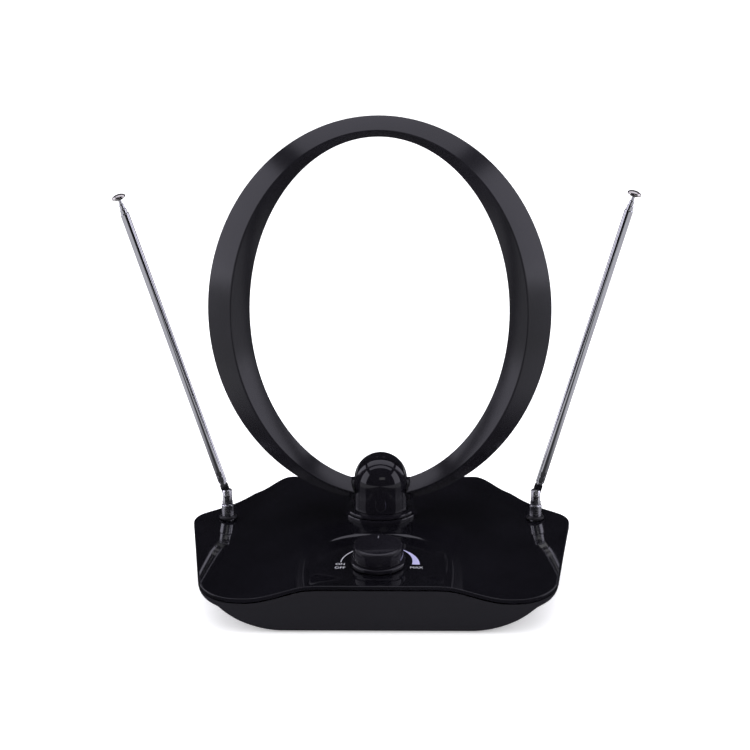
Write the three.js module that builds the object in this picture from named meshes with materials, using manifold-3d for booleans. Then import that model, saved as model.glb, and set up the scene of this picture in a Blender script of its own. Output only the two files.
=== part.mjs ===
// Amplified indoor television antenna: two telescopic rods, a tilting oval loop and a weighted base.
// Millimetres, +Z up, -Y is the front. The origin is under the middle of the object, on the table.
import * as THREE from "three";
import { mergeVertices } from "three/addons/utils/BufferGeometryUtils.js";
import Module from "manifold-3d";

const wasm = await Module();
wasm.setup();

// ---- Driving dimensions ----
const GAP = 0.3; // running and assembly clearance between neighbouring pieces
const WELD = 1e-4; // corners closer than this are one corner

// Base outline, right half: corners of the plan with the length each corner is rounded over.
const FRONT_Y = -84;
const BACK_Y = 79;
const EAR_X = 119.5;
const OUTLINE = [
  { x: 103.5, y: FRONT_Y, round: 24 },
  { x: EAR_X, y: 25, round: 10 },
  { x: 96, y: 50, round: 14 },
  { x: 79.5, y: BACK_Y, round: 12 },
];
const FEET_Z = 1.2; // underside of the tub above the table

// Cover: it slopes up behind the dial and flattens round the post. The wings lie lower and turn up a
// little at their outer edges. The step down to them moves outward from front to back.
const COVER_FRONT_Z = 30.5;
const FRONT_SLOPE = 0.094;
const BACK_SLOPE = 0.045;
const CREST_Y = -12;
const CREST_BLEND = 24;
const COVER_WALL = 2.4;
const WING_DROP = 8.5;
const WING_START = { front: 34, back: 60 };
const WING_BLEND = { front: 43, back: 22 };
const CURL_RISE = 2.4;
const CURL_START = 84;

// Recess of the dial: an arch round the knob with a shallow dish round it. Both fade out at the front edge.
const RECESS_Y = -53.5;
const RECESS_RADIUS = 41;
const RECESS_DEPTH = 0.8;
const RECESS_RAMP = 5;
const DISH_RADIUS = 62;
const DISH_DEPTH = 1.3;
const DISH_EDGE = 8; // width of the dish's edge beside the arch
const ARCH_POWER = 2.3; // 2 would be a circle, more is squarer
const RECESS_FRONT_SHARE = 0.2; // how much of the depth is left at the front edge
const RECESS_FRONT_FADE = 22;

// Tub: a bowl whose sides sweep up to the wings.
const TUB_WALL = 2.2;
const TUB_FLAT_HALF = 55;
const TUB_SWEEP_FRONT = 0.0092;
const TUB_SWEEP_BACK = 0.008;
const TUB_WALL_BAND = 0.3;
const TUB_WALL_INSET = 0.035;
const TUB_WALL_SHARE = 0.01; // how much smaller the inside's plan is, per millimetre of wall
const RIM_HEIGHT_LEAST = 5;
const RIM_GAP = 0.6; // the dark line between cover and tub
const PLAN_DIVISIONS = 16;

// Feet, case screws and the sockets in the back wall
const PLACES = ["front_left", "front_right", "back_left", "back_right"];
const FEET = [[-36, -66], [36, -66], [-52, 44], [52, 44]];
const FOOT_RADIUS = 6;
const CASE_SCREWS = [[-50, -60], [50, -60], [-46, 60], [46, 60]];
const SCREW_RADIUS = 1.3;
const SCREW_HEAD_RADIUS = 2.8;
const SCREW_HEAD_LOW = 0.2;
const SCREW_BOSS_RADIUS = 3.6;
const SCREW_BOSS_LOW = 6;
const SOCKET_X = 24;
const SOCKET_Z = 22;
const SOCKET_RADIUS = 4.7;
const JACK_RADIUS = 4.4;
const JACK_BORE_RADIUS = 2.8;

// Plates inside the base: sizes in X, Y and Z
const BALLAST = { x: 74, y: 62, z: 4, middleY: 4 };
const BOARD = { x: 72, y: 58, z: 1.6, middleY: 31, low: 14 };
const CAN = { x: 34, y: 16, z: 6, middleX: -12, middleY: 46 };

// Gain control
const KNOB_Y = -51.4;
const KNOB_RADIUS = 14.6;
const KNOB_SKIRT_RADIUS = 16.4;
const KNOB_HEIGHT = 13;
const KNOB_HOLLOW_RADIUS = 7;
const SHAFT_RADIUS = 3;
const BUSH_RADIUS = 4;
const POT_RADIUS = 8.2;
const POT_HEIGHT = 8;

// Post and loop
const POST_Y = 19;
const BOSS_RADIUS = 22.8;
const BOSS_TOP_Z = 40.1;
const FLANGE_RADIUS = 21.6;
const FLANGE_THICK = 2;
const STEM_OUTER = 9;
const STEM_BORE = 5;
const STEM_LOW_Z = 24;
const CLIP_Z = 27;
const CLIP_THICK = 0.9;
const CLIP_INNER = 7.9;
const CLIP_OUTER = 12;
const WASHER_Z = 29.2;
const WASHER_THICK = 0.8;
const HOOD_RADIUS = 16.5;
const HOOD_FRONT_RADIUS = 17.4;
const HOOD_WALL = 1.8;
const HOOD_TOP_Z = 77.4;
const HOOD_FRONT_TOP_Z = 76;
const HOOD_SPLIT = 5; // how far in front of the post's axis the two hood shells meet
const TILT_Z = 53.6;
const HUB_RADIUS = 7;
const HUB_HALF = 18;
const PIN_RADIUS = 1.7;
const PIN_END = 21.2;
const LOOP_CENTRE_Z = 167.3;
const LOOP_OUTER = { x: 105.1, z: 121.3 };
const LOOP_INNER = { x: 79.4, z: 108.5 };
const LOOP_RIDGE_DEPTH = 12;
const LOOP_RIDGE_AT = 0.42; // where the ridge stands between the inner rim (0) and the outer rim (1)
const LOOP_END_RADIUS = 19.7;
const STRIP_RADIUS = 1.1;
const STRIP_AT = 0.46; // where the metal strip lies between the inner and the outer rim
const STRIP_START = 0.29; // radians from the bottom of the loop to each end of the strip

// Telescopic rods
const ROD_X = 97.5;
const ROD_Y = 26;
const LEFT_LEAN = THREE.MathUtils.degToRad(17.6);
const RIGHT_LEAN = THREE.MathUtils.degToRad(16.4);
const PIVOT_ABOVE_COVER = 16.2;
const FERRULE_RADIUS = 3.9;
const FERRULE_HEIGHT = 9.4;
const FORK_RADIUS = 3.3;
const STEM_RADIUS = 2;
const STEM_END = 23.6; // how far the stem reaches below the pivot
const RIVET_HOLE = 1.5;
const TUBE_RADII = [2.7, 2.1, 1.55];
const TUBE_WALL = 0.25;
const TUBE_BOTTOMS = [8.8, 24, 27];
const TUBE_TOPS = [190, 193, 196];
const TIP_RADIUS = 1;
const TIP_BOTTOM = 30;
const TIP_TOP = 198.4;
const BUTTON_RADIUS = 4.3;

// ---- Materials ----
function finish(color, roughness, metalness) {
  return new THREE.MeshStandardMaterial({ color, roughness, metalness });
}
const GLOSS_BLACK = finish(0x0b0a0d, 0.12, 0);
const SATIN_BLACK = finish(0x17161a, 0.35, 0);
const CHROME = finish(0xb9b9bd, 0.16, 1);
const NICKEL = finish(0x9a9488, 0.35, 1);
const STEEL = finish(0x7d7f82, 0.45, 1);
const BRASS = finish(0xb08d4a, 0.35, 1);
const RUBBER = finish(0x1c1c1d, 0.9, 0);
const BOARD_GREEN = finish(0x1d5a36, 0.5, 0);
const WIRE_RED = finish(0x8e2420, 0.5, 0);

// ---- Solid helpers ----
function solid(geometry) {
  const bare = geometry.clone();
  bare.deleteAttribute("normal");
  bare.deleteAttribute("uv");
  const merged = mergeVertices(bare, WELD);
  return new wasm.Manifold(
    new wasm.Mesh({
      numProp: 3,
      vertProperties: new Float32Array(merged.attributes.position.array),
      triVerts: new Uint32Array(merged.index.array),
    }),
  );
}

function geometryOf(manifold) {
  const mesh = manifold.getMesh();
  const made = new THREE.BufferGeometry();
  made.setAttribute("position", new THREE.BufferAttribute(new Float32Array(mesh.vertProperties), 3));
  made.setIndex(new THREE.BufferAttribute(new Uint32Array(mesh.triVerts), 1));
  return made;
}

function cut(body, ...tools) {
  return tools.reduce((left, tool) => left.subtract(solid(tool)), body);
}

function join(body, ...extras) {
  return extras.reduce((sum, extra) => sum.add(solid(extra)), body);
}

// A cylinder standing on z = low, about the point (x, y).
function rod(radius, low, high, sides = 24, x = 0, y = 0) {
  const made = new THREE.CylinderGeometry(radius, radius, high - low, sides);
  made.rotateX(Math.PI / 2);
  return made.translate(x, y, (low + high) / 2);
}

function block(sizeX, sizeY, sizeZ, x, y, z) {
  return new THREE.BoxGeometry(sizeX, sizeY, sizeZ).translate(x, y, z);
}

// A turned piece about Z. The profile is a list of [radius, z] from the bottom, up the outside.
function turned(profile, sides = 24) {
  const points = profile.map(([r, z]) => new THREE.Vector2(r, z));
  return new THREE.LatheGeometry(points, sides).rotateX(Math.PI / 2);
}

// A washer or tube: a ring with a rectangular section.
function sleeve(inner, outer, low, high, sides = 24) {
  return turned([[inner, low], [outer, low], [outer, high], [inner, high], [inner, low]], sides);
}

// A hexagonal nut with a round hole.
function hexNut(hole, corner, low, high) {
  return geometryOf(cut(solid(rod(corner, low, high, 6)), rod(hole, low - 1, high + 1, 20)));
}

function wire(points, radius, steps, sides = 6) {
  const path = new THREE.CatmullRomCurve3(points.map((p) => new THREE.Vector3(...p)));
  const section = new THREE.Shape();
  for (let i = 0; i < sides; i += 1) {
    const angle = (i / sides) * 2 * Math.PI;
    const corner = [radius * Math.cos(angle), radius * Math.sin(angle)];
    if (i === 0) section.moveTo(...corner);
    else section.lineTo(...corner);
  }
  return new THREE.ExtrudeGeometry(section, { steps, extrudePath: path, bevelEnabled: false });
}

const group = new THREE.Group();

function add(name, geometry, material, parent = group) {
  const mesh = new THREE.Mesh(geometry, material);
  mesh.name = name;
  parent.add(mesh);
  return mesh;
}

// ---- Base surfaces ----
function ease(t) {
  const c = THREE.MathUtils.clamp(t, 0, 1);
  return c * c * (3 - 2 * c);
}

// Right half of the plan outline, from the middle of the front edge to the middle of the back edge.
function halfOutline() {
  const path = new THREE.Path();
  const ends = [new THREE.Vector2(0, FRONT_Y), new THREE.Vector2(0, BACK_Y)];
  const corners = OUTLINE.map((c) => new THREE.Vector2(c.x, c.y));
  const chain = [ends[0], ...corners, ends[1]];
  path.moveTo(0, FRONT_Y);
  OUTLINE.forEach((corner, i) => {
    const here = chain[i + 1];
    const before = chain[i].clone().sub(here).setLength(corner.round).add(here);
    const after = chain[i + 2].clone().sub(here).setLength(corner.round).add(here);
    path.lineTo(before.x, before.y);
    path.quadraticCurveTo(here.x, here.y, after.x, after.y);
  });
  path.lineTo(0, BACK_Y);
  return path;
}
const RIGHT_HALF = halfOutline();
RIGHT_HALF.arcLengthDivisions = 400;

// The outline's point for a point on the edge of the square from -1 to 1.
function outlinePoint(u, v) {
  const side = Math.abs(u);
  let along = 1 + (v + 1);
  if (v <= -1 + 1e-6 && side < 1 - 1e-6) along = side;
  if (v >= 1 - 1e-6 && side < 1 - 1e-6) along = 3 + (1 - side);
  const point = RIGHT_HALF.getPointAt(THREE.MathUtils.clamp(along / 4, 0, 1));
  return new THREE.Vector2(Math.sign(u) * point.x, point.y);
}

const PLAN_CENTRE = new THREE.Vector2(0, (FRONT_Y + BACK_Y) / 2);

// A point of the square, mapped to the outline shrunk about its centre.
function planPoint(u, v, scaleOf) {
  const ring = Math.max(Math.abs(u), Math.abs(v));
  if (ring < 1e-6) return PLAN_CENTRE.clone();
  const edge = outlinePoint(u / ring, v / ring);
  return edge.sub(PLAN_CENTRE).multiplyScalar(scaleOf(ring)).add(PLAN_CENTRE);
}

function recessAt(x, y) {
  const ahead = Math.max(0, y - RECESS_Y);
  const reach = (Math.abs(x) ** ARCH_POWER + ahead ** ARCH_POWER) ** (1 / ARCH_POWER);
  const arch = RECESS_DEPTH * ease((RECESS_RADIUS + RECESS_RAMP / 2 - reach) / RECESS_RAMP);
  const beside = ease((RECESS_RADIUS + DISH_EDGE / 2 - reach) / DISH_EDGE);
  const behind = ease((DISH_RADIUS - reach) / (DISH_RADIUS - RECESS_RADIUS));
  const fade = ease((y - RECESS_Y) / RECESS_RADIUS);
  const dish = DISH_DEPTH * THREE.MathUtils.lerp(beside, behind, fade);
  const share = ease((y - FRONT_Y) / RECESS_FRONT_FADE);
  return (arch + dish) * THREE.MathUtils.lerp(RECESS_FRONT_SHARE, 1, share);
}

// The middle's height along Y: two slopes joined by a parabola at the crest.
function crestHeight(y) {
  const start = CREST_Y - CREST_BLEND / 2;
  const past = THREE.MathUtils.clamp(y - start, 0, CREST_BLEND);
  const beyond = Math.max(0, y - start - CREST_BLEND);
  const bend = (FRONT_SLOPE - BACK_SLOPE) / (2 * CREST_BLEND);
  const rise = FRONT_SLOPE * (Math.min(y, start + CREST_BLEND) - FRONT_Y) - bend * past ** 2;
  return COVER_FRONT_Z + rise + BACK_SLOPE * beyond;
}

function coverHeight(x, y) {
  const side = Math.abs(x);
  const back = (y - FRONT_Y) / (BACK_Y - FRONT_Y);
  const start = THREE.MathUtils.lerp(WING_START.front, WING_START.back, back);
  const blend = THREE.MathUtils.lerp(WING_BLEND.front, WING_BLEND.back, back);
  const wing = WING_DROP * ease((side - start) / blend);
  const curl = CURL_RISE * ease((side - CURL_START) / (EAR_X - CURL_START));
  return crestHeight(y) - wing + curl - recessAt(x, y);
}

function tubFloor(x, y, rim) {
  const back = ease((y - FRONT_Y) / (BACK_Y - FRONT_Y));
  const sweep = THREE.MathUtils.lerp(TUB_SWEEP_FRONT, TUB_SWEEP_BACK, back);
  const rise = sweep * Math.max(0, Math.abs(x) - TUB_FLAT_HALF) ** 2;
  return Math.min(FEET_Z + rise, rim - RIM_HEIGHT_LEAST);
}

// Bends a flat square slab, from -1 to 1 in X and Y, to the base's plan and heights.
function bentSlab(divisions, place) {
  const slab = new THREE.BoxGeometry(2, 2, 1, divisions, divisions, 1);
  const position = slab.attributes.position;
  for (let i = 0; i < position.count; i += 1) {
    const point = place(position.getX(i), position.getY(i), position.getZ(i) > 0);
    position.setXYZ(i, point.x, point.y, point.z);
  }
  return slab;
}

const KNOB_TILT = Math.atan(FRONT_SLOPE);
const KNOB_Z = coverHeight(0, KNOB_Y);

// Puts a piece drawn about the knob's own upright axis onto the sloping cover.
function onDial(geometry) {
  return geometry.rotateX(KNOB_TILT).translate(0, KNOB_Y, KNOB_Z);
}

function topCover() {
  const sheet = bentSlab(PLAN_DIVISIONS, (u, v, top) => {
    const plan = planPoint(u, v, (ring) => ring);
    const z = coverHeight(plan.x, plan.y) - (top ? 0 : COVER_WALL);
    return { x: plan.x, y: plan.y, z };
  });
  const bossTop = (x, y) => coverHeight(x, y) - COVER_WALL + GAP;
  const posts = CASE_SCREWS.map(([x, y]) => rod(SCREW_BOSS_RADIUS, SCREW_BOSS_LOW, bossTop(x, y), 12, x, y));
  const bores = CASE_SCREWS.map(([x, y]) => rod(SCREW_RADIUS + GAP, 5, 20, 12, x, y));
  const postHole = rod(STEM_OUTER + GAP, 28, 60, 24, 0, POST_Y);
  const rodHoles = [-ROD_X, ROD_X].map((x) => rod(FERRULE_RADIUS + GAP, 20, 50, 16, x, ROD_Y));
  const dialHole = onDial(rod(BUSH_RADIUS + GAP, -10, 10, 20));
  return geometryOf(cut(join(solid(sheet), ...posts), ...bores, postHole, ...rodHoles, dialHole));
}

function bottomTub() {
  const bowl = bentSlab(PLAN_DIVISIONS, (u, v, inside) => {
    const wall = inside ? TUB_WALL : 0;
    const ring = Math.max(Math.abs(u), Math.abs(v));
    const turn = (Math.min(1, (1 - ring) / TUB_WALL_BAND) * Math.PI) / 2;
    const scale = (r) => {
      const flat = Math.min(1, r / (1 - TUB_WALL_BAND));
      const inset = TUB_WALL_INSET * (1 - Math.cos(turn));
      return (1 - inset - TUB_WALL_SHARE * wall) * flat;
    };
    const rimPoint = planPoint(u / ring || 0, v / ring || 0, () => 1);
    const plan = planPoint(u, v, scale);
    const rim = coverHeight(rimPoint.x, rimPoint.y) - COVER_WALL - RIM_GAP;
    const floor = tubFloor(plan.x, plan.y, rim);
    const lift = THREE.MathUtils.lerp(rim, floor, Math.sin(turn));
    return { x: plan.x, y: plan.y, z: lift + wall * Math.sin(turn) };
  });
  const screwHoles = CASE_SCREWS.map(([x, y]) => rod(SCREW_RADIUS + GAP, 0, 5, 12, x, y));
  const coaxHole = rod(SOCKET_RADIUS + GAP, -10, 10, 20).rotateX(Math.PI / 2);
  const jackHole = rod(JACK_RADIUS + GAP, -10, 10, 20).rotateX(Math.PI / 2);
  coaxHole.translate(-SOCKET_X, BACK_Y, SOCKET_Z);
  jackHole.translate(SOCKET_X, BACK_Y, SOCKET_Z);
  return geometryOf(cut(solid(bowl), ...screwHoles, coaxHole, jackHole));
}

function addCase() {
  add("top_cover", topCover(), GLOSS_BLACK);
  add("bottom_tub", bottomTub(), SATIN_BLACK);
  const soleTop = FEET_Z - GAP;
  PLACES.forEach((place, i) => {
    const foot = turned([[0, 0], [FOOT_RADIUS, 0], [FOOT_RADIUS + 0.4, soleTop], [0, soleTop]], 16);
    add(`foot_${place}`, foot.translate(...FEET[i], 0), RUBBER);
    const head = SCREW_HEAD_RADIUS;
    const shank = SCREW_RADIUS;
    const low = SCREW_HEAD_LOW;
    const profile = [[0, low], [head, low], [head, soleTop], [shank, soleTop], [shank, 16], [0, 17]];
    add(`case_screw_${place}`, turned(profile, 12).translate(...CASE_SCREWS[i], 0), STEEL);
  });
}

// ---- Parts inside the base ----
function plate(size, low) {
  return block(size.x, size.y, size.z, size.middleX ?? 0, size.middleY, low + size.z / 2);
}

// Turns a socket drawn upright to point out of the back wall.
function inBackWall(geometry, x) {
  return geometry.rotateX(-Math.PI / 2).translate(x, BACK_Y, SOCKET_Z);
}

function coaxSocket() {
  const body = [[0.6, -16], [4, -16], [4, -9], [6, -9], [6, -5.2]];
  const barrel = [[SOCKET_RADIUS, -5.2], [SOCKET_RADIUS, 5], [3.6, 5], [3.6, 2], [0.6, 2], [0.6, -16]];
  return turned([...body, ...barrel], 20);
}

function powerSocket() {
  const body = [[0, -14], [JACK_RADIUS, -14], [JACK_RADIUS, 0.2], [5.6, 0.2 + GAP], [5.6, 1.6]];
  const bore = [[JACK_BORE_RADIUS, 1.6], [JACK_BORE_RADIUS, -8], [1, -8], [1, 0], [0, 0]];
  return turned([...body, ...bore], 20);
}

function addElectronics() {
  add("ballast_plate", plate(BALLAST, FEET_Z + TUB_WALL + GAP), STEEL);
  add("amplifier_board", plate(BOARD, BOARD.low), BOARD_GREEN);
  add("shield_can", plate(CAN, BOARD.low + BOARD.z + GAP), NICKEL);
  add("coax_socket", inBackWall(coaxSocket(), -SOCKET_X), NICKEL);
  add("coax_nut", inBackWall(hexNut(SOCKET_RADIUS + GAP, 7, 0.6, 2.6), -SOCKET_X), NICKEL);
  add("power_socket", inBackWall(powerSocket(), SOCKET_X), SATIN_BLACK);
}

function addGainControl() {
  const under = -COVER_WALL - GAP;
  const can = solid(rod(POT_RADIUS, under - POT_HEIGHT, under, 20));
  const body = join(can, rod(BUSH_RADIUS, under - 1, 3.4, 20));
  const pot = cut(body, rod(SHAFT_RADIUS + GAP, under - 6, 10, 20));
  add("gain_potentiometer", onDial(geometryOf(pot)), NICKEL);
  add("pot_nut", onDial(hexNut(BUSH_RADIUS + GAP, 6.4, GAP, 2.3)), NICKEL);
  add("pot_shaft", onDial(rod(SHAFT_RADIUS, under - 5.6, 8.4, 20)), NICKEL);
  const top = KNOB_HEIGHT;
  const shell = turned(
    [[0, 0.6], [KNOB_SKIRT_RADIUS, 0.6], [KNOB_SKIRT_RADIUS, 3.2], [KNOB_RADIUS + 0.6, 4],
      [KNOB_RADIUS, top - 1], [KNOB_RADIUS - 1, top], [0, top]], 32,
  );
  const hollow = [rod(KNOB_HOLLOW_RADIUS, 0, 4, 24), rod(SHAFT_RADIUS + GAP, 0, 8.8, 20)];
  add("gain_knob", onDial(geometryOf(cut(solid(shell), ...hollow))), GLOSS_BLACK);
}

// ---- Turning post ----
const FLANGE_Z = BOSS_TOP_Z + GAP;
const HOOD_Z = FLANGE_Z + FLANGE_THICK + GAP;

function domed(radius, low, top, sides = 24) {
  const profile = [[0, low], [radius, low]];
  const steps = 6;
  for (let i = 0; i <= steps; i += 1) {
    const angle = (i / steps) * (Math.PI / 2);
    profile.push([i === steps ? 0 : radius * Math.cos(angle), top - radius + radius * Math.sin(angle)]);
  }
  return turned(profile, sides);
}

// One of the two shells of the hood, from a dome, its hollow and the half of space it keeps.
function hoodShell(radius, top, keepBack) {
  const inside = domed(radius - HOOD_WALL, HOOD_Z - 1, top - HOOD_WALL);
  const shell = cut(solid(domed(radius, HOOD_Z, top)), inside);
  const half = 40; // half of a cutting block that is larger than the hood
  const middle = keepBack ? -HOOD_SPLIT - half : -HOOD_SPLIT - GAP + half;
  const away = block(2 * half, 2 * half, 2 * half, 0, middle, TILT_Z);
  const barrelHole = rod(HUB_RADIUS + GAP, -half, half, 24).rotateY(Math.PI / 2).translate(0, 0, TILT_Z);
  return geometryOf(cut(shell, away, barrelHole)).translate(0, POST_Y, 0);
}

function addPost() {
  const ring = sleeve(STEM_OUTER + GAP, BOSS_RADIUS, 30, BOSS_TOP_Z, 40).translate(0, POST_Y, 0);
  add("post_boss", geometryOf(solid(ring).subtract(coverKeepOut())), GLOSS_BLACK);
  const top = FLANGE_Z + FLANGE_THICK;
  const stem = [[STEM_BORE, STEM_LOW_Z], [STEM_OUTER, STEM_LOW_Z], [STEM_OUTER, FLANGE_Z]];
  const flange = [[FLANGE_RADIUS, FLANGE_Z], [FLANGE_RADIUS, top], [STEM_BORE, top], [STEM_BORE, STEM_LOW_Z]];
  const groove = sleeve(CLIP_INNER - GAP, CLIP_OUTER, CLIP_Z - 0.4, CLIP_Z + CLIP_THICK + GAP, 24);
  const turntable = cut(solid(turned([...stem, ...flange], 40)), groove);
  add("post_turntable", geometryOf(turntable).translate(0, POST_Y, 0), GLOSS_BLACK);
  const washer = sleeve(STEM_OUTER + GAP, CLIP_OUTER, WASHER_Z, WASHER_Z + WASHER_THICK, 24);
  add("wave_washer", washer.translate(0, POST_Y, 0), STEEL);
  add("retaining_clip", openClip().translate(0, POST_Y, 0), STEEL);
  add("hood_back", hoodShell(HOOD_RADIUS, HOOD_TOP_Z, true), GLOSS_BLACK);
  add("hood_front", hoodShell(HOOD_FRONT_RADIUS, HOOD_FRONT_TOP_Z, false), GLOSS_BLACK);
}

// The space under the cover's surface round the post, with the assembly gap on top.
function coverKeepOut() {
  const steps = 12;
  const slab = new THREE.BoxGeometry(2, 2, 1, steps, steps, 1);
  const position = slab.attributes.position;
  const half = BOSS_RADIUS + 4;
  for (let i = 0; i < position.count; i += 1) {
    const x = half * position.getX(i);
    const y = POST_Y + half * position.getY(i);
    const z = position.getZ(i) > 0 ? coverHeight(x, y) + 2 * GAP : 0;
    position.setXYZ(i, x, y, z);
  }
  return solid(slab);
}

function openClip() {
  const ring = solid(sleeve(CLIP_INNER, CLIP_OUTER, CLIP_Z, CLIP_Z + CLIP_THICK, 24));
  return geometryOf(cut(ring, block(CLIP_OUTER / 2, CLIP_OUTER, 4, 0, -CLIP_OUTER, CLIP_Z)));
}

// ---- Oval loop ----
// One moulded half of the loop: a ridge between the inner and the outer rim, hollow behind.
function loopHalf(front) {
  const face = front ? -1 : 1;
  const section = [[0, GAP / 2], [1, GAP / 2], [LOOP_RIDGE_AT, LOOP_RIDGE_DEPTH], [0, GAP / 2]];
  const peak = LOOP_RIDGE_DEPTH - 2.6;
  const hollow = [[0.2, -1], [0.8, -1], [0.8, 1.6], [LOOP_RIDGE_AT, peak], [0.2, 1.6], [0.2, -1]];
  const shell = cut(solid(ovalRing(section, face)), ovalRing(hollow, face));
  const socket = new THREE.SphereGeometry(LOOP_END_RADIUS, 24, 16).translate(0, 0, TILT_Z);
  return geometryOf(cut(shell, socket, block(30, 60, 30, 0, 0, TILT_Z - 4))).translate(0, POST_Y, 0);
}

// A full oval ring. The section runs from the inner rim (0) to the outer rim (1) and stands out by its depth.
function ovalRing(section, face, steps = 56) {
  const profile = section.map(([across, depth]) => new THREE.Vector2(across + 1, depth));
  const ring = new THREE.LatheGeometry(profile, steps);
  const position = ring.attributes.position;
  for (let i = 0; i < position.count; i += 1) {
    const turn = Math.atan2(position.getZ(i), position.getX(i));
    const across = Math.hypot(position.getX(i), position.getZ(i)) - 1;
    const x = THREE.MathUtils.lerp(LOOP_INNER.x, LOOP_OUTER.x, across) * Math.cos(turn);
    const z = THREE.MathUtils.lerp(LOOP_INNER.z, LOOP_OUTER.z, across) * Math.sin(turn);
    position.setXYZ(i, x, face * position.getY(i), LOOP_CENTRE_Z + z);
  }
  if (face < 0) turnInsideOut(ring);
  return ring;
}

// Swaps two corners of every triangle, for a shape that was mirrored.
function turnInsideOut(geometry) {
  const index = geometry.index.array;
  for (let i = 0; i < index.length; i += 3) {
    const first = index[i];
    index[i] = index[i + 1];
    index[i + 1] = first;
  }
}

function addLoop() {
  add("loop_front_shell", loopHalf(true), GLOSS_BLACK);
  add("loop_back_shell", loopHalf(false), GLOSS_BLACK);
  const radiusX = THREE.MathUtils.lerp(LOOP_INNER.x, LOOP_OUTER.x, STRIP_AT);
  const radiusZ = THREE.MathUtils.lerp(LOOP_INNER.z, LOOP_OUTER.z, STRIP_AT);
  const points = [];
  const steps = 24;
  for (let i = 0; i <= steps; i += 1) {
    const turn = -Math.PI / 2 + STRIP_START + (i / steps) * 2 * (Math.PI - STRIP_START);
    points.push([radiusX * Math.cos(turn), POST_Y, LOOP_CENTRE_Z + radiusZ * Math.sin(turn)]);
  }
  add("loop_conductor", wire(points, STRIP_RADIUS, 44, 6), BRASS);
  const oneEnd = [[0, -PIN_END], [PIN_RADIUS, -PIN_END], [PIN_RADIUS, -HUB_HALF], [HUB_RADIUS, -HUB_HALF]];
  const otherEnd = oneEnd.map(([radius, z]) => [radius, -z]).reverse();
  const barrel = turned([...oneEnd, ...otherEnd]);
  const wireHole = rod(2.4, -10, 0, 16);
  const hub = cut(solid(barrel.rotateY(Math.PI / 2)), wireHole);
  add("loop_hub", geometryOf(hub).translate(0, POST_Y, TILT_Z), SATIN_BLACK);
}

// ---- Telescopic rods ----
function fork() {
  const post = solid(rod(FORK_RADIUS, -6, 3.6, 20));
  const slot = block(10, 3.2, 8.4, 0, 0, 0);
  const cheeks = [block(10, 4, 20, 0, 5, 0), block(10, 4, 20, 0, -5, 0)];
  const rivetHole = rod(RIVET_HOLE, -6, 6, 16).rotateX(Math.PI / 2);
  const stem = rod(STEM_RADIUS, -STEM_END, -5.9, 16);
  return geometryOf(join(cut(post, slot, ...cheeks, rivetHole), stem));
}

function rivet() {
  const head = [[0, -3.9], [1.6, -3.9], [2, -3.5], [2, -3.3], [1.2, -3.3]];
  const tail = head.map(([radius, z]) => [radius, -z]).reverse();
  return turned([...head, ...tail], 12).rotateX(Math.PI / 2);
}

function rodRoot() {
  const tongue = join(solid(block(4.8, 2.6, 11.4, 0, 0, 2.7)), rod(2.1, 8.2, 20, 12));
  return geometryOf(cut(tongue, rod(RIVET_HOLE, -6, 6, 16).rotateX(Math.PI / 2)));
}

// One rod: side is -1 for the left and 1 for the right.
function addRod(name, side, lean) {
  const foot = new THREE.Group();
  const surface = coverHeight(ROD_X, ROD_Y);
  foot.position.set(side * ROD_X, ROD_Y, surface + PIVOT_ABOVE_COVER);
  group.add(foot);
  const low = -PIVOT_ABOVE_COVER;
  add(`${name}_collar`, sleeve(FERRULE_RADIUS + GAP, 5.6, low + 0.9, low + 2.6, 24), SATIN_BLACK, foot);
  const ferruleTop = -6 - GAP;
  const ferruleLow = ferruleTop - FERRULE_HEIGHT - 3;
  const ferrule = sleeve(STEM_RADIUS + GAP, FERRULE_RADIUS, ferruleLow, ferruleTop, 20);
  add(`${name}_ferrule`, ferrule, CHROME, foot);
  add(`${name}_fork`, fork(), CHROME, foot);
  add(`${name}_rivet`, rivet(), CHROME, foot);
  const nutTop = ferruleLow - GAP;
  add(`${name}_stem_nut`, hexNut(STEM_RADIUS + GAP, 3.9, nutTop - 2.4, nutTop), NICKEL, foot);

  const arm = new THREE.Group();
  arm.rotation.y = side * lean;
  foot.add(arm);
  add(`${name}_rod_root`, rodRoot(), NICKEL, arm);
  TUBE_RADII.forEach((radius, i) => {
    const tube = sleeve(radius - TUBE_WALL, radius, TUBE_BOTTOMS[i], TUBE_TOPS[i], 12);
    add(`${name}_tube_${i + 1}`, tube, CHROME, arm);
  });
  add(`${name}_tip_rod`, rod(TIP_RADIUS, TIP_BOTTOM, TIP_TOP, 12), CHROME, arm);
  const button = [[0, GAP], [2.4, GAP], [BUTTON_RADIUS, 1.4], [BUTTON_RADIUS, 2.4], [2.8, 3.6], [0, 3.9]];
  add(`${name}_tip_button`, turned(button, 20).translate(0, 0, TIP_TOP), CHROME, arm);

  const tie = [side * (ROD_X - 6), ROD_Y, surface - 9];
  const bends = [[side * 80, ROD_Y + 4, 20], [side * 58, ROD_Y + 6, 18], [side * 38, ROD_Y + 4, 18.5]];
  add(`${name}_lead`, wire([tie, ...bends], 0.8, 14), WIRE_RED);
}

addCase();
addElectronics();
addGainControl();
addPost();
addLoop();
addRod("left", -1, LEFT_LEAN);
addRod("right", 1, RIGHT_LEAN);

export default group;
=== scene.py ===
import math

import bmesh
import bpy
from mathutils import Matrix, Quaternion, Vector


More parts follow.
